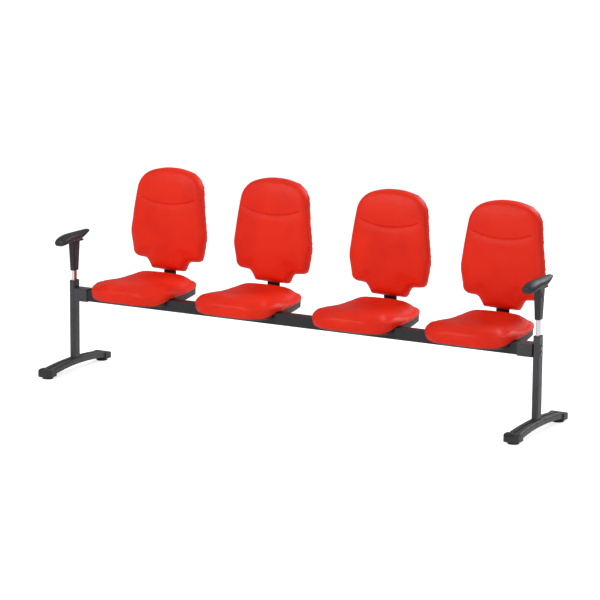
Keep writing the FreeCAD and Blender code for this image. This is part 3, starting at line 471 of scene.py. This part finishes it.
# Two rows of red thread hold the sewn channel down, each stitch half sunk in the cover beside it.
# The stitches are short rounded lengths, set one after another along two lines on the cover.
def stitch_row_tree(finish):
    tree = bpy.data.node_groups.new("stitch_rows", "GeometryNodeTree")
    tree.interface.new_socket("Lines", in_out="INPUT", socket_type="NodeSocketGeometry")
    for label in ("Spacing", "Stitch length", "Thread radius"):
        tree.interface.new_socket(label, in_out="INPUT", socket_type="NodeSocketFloat")
    tree.interface.new_socket("Stitches", in_out="OUTPUT", socket_type="NodeSocketGeometry")
    given = tree.nodes.new("NodeGroupInput")
    result = tree.nodes.new("NodeGroupOutput")
    curve = tree.nodes.new("GeometryNodeMeshToCurve")
    spaced = tree.nodes.new("GeometryNodeResampleCurve")
    spaced.mode = "LENGTH"
    thread = tree.nodes.new("GeometryNodeMeshUVSphere")
    thread.inputs["Segments"].default_value = 8
    thread.inputs["Rings"].default_value = 6
    tangent = tree.nodes.new("GeometryNodeInputTangent")
    turned = tree.nodes.new("FunctionNodeAlignRotationToVector")
    turned.axis = "Z"
    stretch = tree.nodes.new("ShaderNodeMath")
    stretch.operation = "DIVIDE"
    halved = tree.nodes.new("ShaderNodeMath")
    halved.operation = "MULTIPLY"
    halved.inputs[1].default_value = 0.5
    scale = tree.nodes.new("ShaderNodeCombineXYZ")
    scale.inputs["X"].default_value = 1
    scale.inputs["Y"].default_value = 1
    placed = tree.nodes.new("GeometryNodeInstanceOnPoints")
    real = tree.nodes.new("GeometryNodeRealizeInstances")
    dressed = tree.nodes.new("GeometryNodeSetMaterial")
    dressed.inputs["Material"].default_value = finish
    join = tree.links.new
    join(given.outputs["Lines"], curve.inputs["Mesh"])
    join(curve.outputs["Curve"], spaced.inputs["Curve"])
    join(given.outputs["Spacing"], spaced.inputs["Length"])
    join(given.outputs["Thread radius"], thread.inputs["Radius"])
    join(tangent.outputs["Tangent"], turned.inputs["Vector"])
    join(given.outputs["Stitch length"], halved.inputs[0])
    join(halved.outputs[0], stretch.inputs[0])
    join(given.outputs["Thread radius"], stretch.inputs[1])
    join(stretch.outputs[0], scale.inputs["Z"])
    join(spaced.outputs["Curve"], placed.inputs["Points"])
    join(thread.outputs["Mesh"], placed.inputs["Instance"])
    join(turned.outputs["Rotation"], placed.inputs["Rotation"])
    join(scale.outputs["Vector"], placed.inputs["Scale"])
    join(placed.outputs["Instances"], real.inputs["Geometry"])
    join(real.outputs["Geometry"], dressed.inputs["Geometry"])
    join(dressed.outputs["Geometry"], result.inputs["Stitches"])
    return tree


thread_finish, tree, shader, place = new_finish("red_thread", srgb(214, 36, 26), 0.6)
twist = noise(tree, place, 2600, 2)
tree.links.new(between(tree, twist, srgb(196, 28, 20), srgb(228, 50, 38)), shader.inputs["Base Color"])
raised(tree, shader, twist, 0.0001, 0.5)
surface = BVHTree.FromPolygons([v.co for v in back.vertices], [tuple(f.vertices) for f in back.polygons])
rows, row_edges = [], []
row_gap = 0.0058
for offset in (-row_gap, row_gap):
    start = len(rows)
    for x in np.linspace(-seam_half + 0.004, seam_half - 0.004, 121):
        height = float(seam_line(x)) + offset
        hit = surface.ray_cast(Vector((x, -0.3, height)), Vector((0, 1, 0)))[0]
        rows.append((x, hit.y, height))
    row_edges += [(k, k + 1) for k in range(start, len(rows) - 1)]
row_mesh = bpy.data.meshes.new("stitch_lines")
row_mesh.from_pydata(rows, row_edges, [])
stitch_tree = stitch_row_tree(thread_finish)


def sewn(trial):
    rows_on = trial.modifiers.new("stitches", "NODES")
    rows_on.node_group = stitch_tree
    sizes = {"Spacing": 0.0062, "Stitch length": 0.0046, "Thread radius": 0.0005}
    for item in stitch_tree.interface.items_tree:
        if item.name in sizes:
            rows_on[item.identifier] = sizes[item.name]


stitches = worked(row_mesh, sewn)
for n in seats:
    low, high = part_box("back_cushion_" + n)
    thread = stitches.copy()
    thread.transform(Matrix.Translation(((low.x + high.x) / 2, 0, 0)) @ back_place)
    piece = linked("back_stitches_" + n, thread, thread_finish)
    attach(piece, "frame")


# The end frame is an oval steel upright with a bracket that the beam slides into, over a cast foot.
# Upright and bracket are dark grey powder coat, and the arched aluminium foot is painted to match.
frame_coat = powder_coat("end_frame_coat", srgb(50, 49, 54), srgb(66, 64, 68), 0.36)
foot_paint = powder_coat("foot_paint", srgb(52, 50, 54), srgb(70, 67, 70), 0.4)
dress(["upright_" + end for end in ends] + ["beam_bracket_" + end for end in ends], frame_coat)
dress(["foot_" + end for end in ends], foot_paint)


# Flared plastic caps are pushed over the tips of each foot, and levelling glides screw up into them.
# Caps, glides and the collars in the uprights' mouths are black mouldings of their own grades.
cap_plastic = moulded("cap_plastic", srgb(34, 34, 38), srgb(48, 47, 50), 0.42)
glide_plastic = moulded("glide_plastic", srgb(22, 22, 25), srgb(32, 32, 35), 0.55)
dress(["foot_caps_" + end for end in ends] + ["post_collars"], cap_plastic)
dress(["glide_%s_%s" % (end, side) for end in ends for side in ("front", "rear")], glide_plastic)


# Each armrest slides on a chromed oval post by a tapered moulded sleeve with a button in its outer face.
# Sleeve and button are black nylon, the post is bright chrome with faint lengthwise polishing marks.
chrome, tree, shader, place = new_finish("post_chrome", srgb(214, 216, 220), 0.12, 1.0)
stretch = tree.nodes.new("ShaderNodeMapping")
stretch.inputs["Scale"].default_value = (900, 900, 30)
tree.links.new(place, stretch.inputs["Vector"])
polish = noise(tree, stretch.outputs["Vector"], 1, 3)
tree.links.new(between(tree, polish, 0.08, 0.2), shader.inputs["Roughness"])
raised(tree, shader, polish, 0.00002, 0.4)
sleeve_nylon = moulded("sleeve_nylon", srgb(24, 24, 30), srgb(34, 34, 42), 0.4)
button_nylon = moulded("button_nylon", srgb(40, 40, 46), srgb(52, 52, 58), 0.36)
dress(["arm_post_" + end for end in ends], chrome)
dress(["arm_sleeve_" + end for end in ends], sleeve_nylon)
dress(["arm_button_" + end for end in ends], button_nylon)


# The arm pad is black integral-skin foam on the sleeve's flange: a thick nose that droops, a thin tail.
# It is one moulding with a soft all-round edge, held by two screws from below.
pad_skin = moulded("pad_skin", srgb(30, 31, 38), srgb(42, 43, 52), 0.5, 700, 0.0003)
for end in ends:
    pad = subdivided(remeshed(joined_copy("arm_pad_" + end), 0.004, 4))
    piece = linked("arm_pad_skin_" + end, pad, pad_skin)
    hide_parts("arm_pad_" + end)
    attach(piece, "arm_" + end)


# The shells and pads are held by small screws, blackened so that they don't show against the plastic.
# The frame's own bolts are dressed with the saddles above.
black_screw = plated("black_screw", srgb(52, 52, 56), 0.42)
dress(["shell_screws"] + ["arm_screws_" + end for end in ends], black_screw)


# The studio: a pale seamless floor, a white surround, and three soft lamps at a plain level.
# The camera stands to the right of the seating and a little above it, with a long lens.
floor_mesh = bpy.data.meshes.new("studio_floor")
floor_mesh.from_pydata([(-30, -30, 0), (30, -30, 0), (30, 30, 0), (-30, 30, 0)], [], [(0, 1, 2, 3)])
floor = bpy.data.objects.new("studio_floor", floor_mesh)
bpy.context.scene.collection.objects.link(floor)
floor_finish, tree, shader, place = new_finish("studio_floor", (0.8, 0.8, 0.8), 0.9)
shader.inputs["Specular IOR Level"].default_value = 0.0
seen = tree.nodes.new("ShaderNodeLightPath")
reach = tree.nodes.new("ShaderNodeMath")
reach.operation = "MULTIPLY_ADD"
reach.inputs[1].default_value = 0.4
tree.links.new(seen.outputs["Is Glossy Ray"], reach.inputs[0])
tree.links.new(seen.outputs["Is Camera Ray"], reach.inputs[2])
lift = tree.nodes.new("ShaderNodeMath")
lift.operation = "MULTIPLY"
lift.inputs[1].default_value = 0.74
tree.links.new(reach.outputs[0], lift.inputs[0])
shader.inputs["Emission Color"].default_value = (1, 1, 1, 1)
tree.links.new(lift.outputs[0], shader.inputs["Emission Strength"])
floor_mesh.materials.append(floor_finish)

world = bpy.data.worlds.new("studio")
bpy.context.scene.world = world
world.use_nodes = True
tree = world.node_tree
tree.nodes.clear()
ambient = tree.nodes.new("ShaderNodeBackground")
ambient.inputs["Color"].default_value = (1, 1, 1, 1)
ambient.inputs["Strength"].default_value = 0.36
backdrop = tree.nodes.new("ShaderNodeBackground")
backdrop.inputs["Color"].default_value = (1, 1, 1, 1)
backdrop.inputs["Strength"].default_value = 1.0
seen = tree.nodes.new("ShaderNodeLightPath")
choice = tree.nodes.new("ShaderNodeMixShader")
output = tree.nodes.new("ShaderNodeOutputWorld")
tree.links.new(seen.outputs["Is Camera Ray"], choice.inputs[0])
tree.links.new(ambient.outputs[0], choice.inputs[1])
tree.links.new(backdrop.outputs[0], choice.inputs[2])
tree.links.new(choice.outputs[0], output.inputs["Surface"])


def soft_lamp(name, place, aim, size, watts):
    lamp = bpy.data.lights.new(name, "AREA")
    lamp.shape = "DISK"
    lamp.size = size
    lamp.energy = watts
    holder = bpy.data.objects.new(name, lamp)
    holder.location = place
    holder.rotation_mode = "QUATERNION"
    holder.rotation_quaternion = (Vector(aim) - Vector(place)).to_track_quat("-Z", "Y")
    bpy.context.scene.collection.objects.link(holder)


soft_lamp("key_lamp", (-1.6, -3.6, 3.6), (0, 0, 0.5), 2.4, 112)
soft_lamp("fill_lamp", (4.2, -2.4, 2.0), (0, 0, 0.5), 2.0, 36)
soft_lamp("rear_lamp", (1.5, 3.2, 3.4), (0, 0, 0.6), 2.0, 95)

turn, rise, roll = math.radians(29.14), math.radians(11.53), math.radians(0.44)
back_way = Vector((math.sin(turn) * math.cos(rise), -math.cos(turn) * math.cos(rise), math.sin(rise)))
across = Vector((math.cos(turn), math.sin(turn), 0))
upward = Vector((-math.sin(rise) * math.sin(turn), math.sin(rise) * math.cos(turn), math.cos(rise)))
frame_right = across * math.cos(roll) + upward * math.sin(roll)
frame_up = upward * math.cos(roll) - across * math.sin(roll)
camera = bpy.data.objects.new("camera", bpy.data.cameras.new("camera"))
camera.data.sensor_width = 36
camera.data.lens = 178.2
camera.data.clip_end = 100
camera.location = Vector((0.01725, -0.063, 0.448)) + back_way * 13.0
camera.rotation_mode = "QUATERNION"
camera.rotation_quaternion = Matrix((frame_right, frame_up, back_way)).transposed().to_quaternion()
bpy.context.scene.collection.objects.link(camera)
bpy.context.scene.camera = camera
bpy.context.scene.view_settings.view_transform = "Standard"
